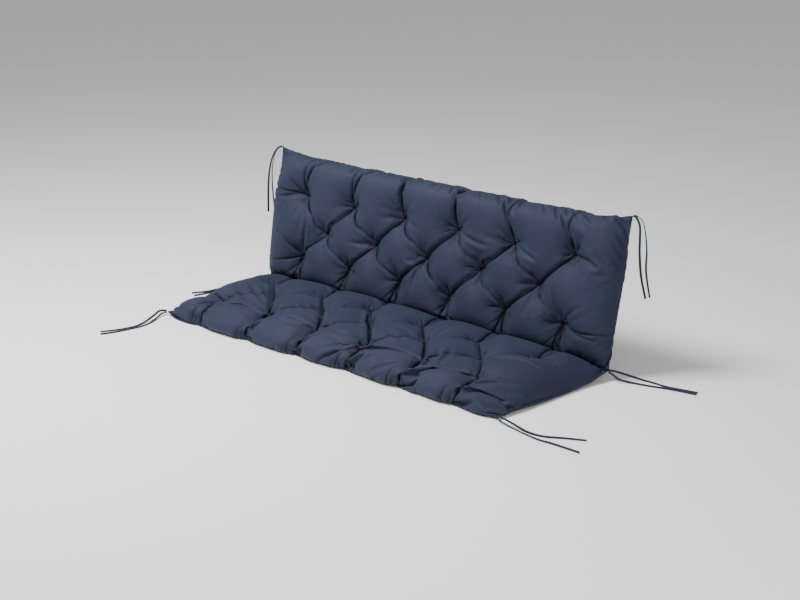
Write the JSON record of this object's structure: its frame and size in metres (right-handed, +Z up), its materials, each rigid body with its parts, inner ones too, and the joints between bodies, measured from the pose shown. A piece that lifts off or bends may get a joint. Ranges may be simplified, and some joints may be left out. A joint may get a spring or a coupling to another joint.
{
  "type": "bench cushion with tied back",
  "caption": "Diamond-tufted bench cushion in navy fabric: a seat panel lying flat, a back panel standing up from a sewn fold, and pairs of tape ties at its corners and fold ends.",
  "frame": {"origin": "middle of the cushion's footprint, on the surface that the seat panel rests on", "axes": "+X along the bench to the sitter's left, -Y the front edge of the seat, +Z up"},
  "size_m": [1.9301, 0.9062, 0.4994],
  "materials": {
    "cover": "matte woven navy polyester",
    "tape": "matte folded tape in the cover's cloth"
  },
  "bodies": {
    "root": {"cushion": "cover", "tie_top_left_outer": "tape", "tie_top_left_inner": "tape", "tie_top_right_outer": "tape", "tie_top_right_inner": "tape", "tie_fold_left_outer": "tape", "tie_fold_left_inner": "tape", "tie_fold_right_outer": "tape", "tie_fold_right_inner": "tape", "tie_front_left_outer": "tape", "tie_front_left_inner": "tape", "tie_front_right_outer": "tape", "tie_front_right_inner": "tape"}
  },
  "joints": []
}
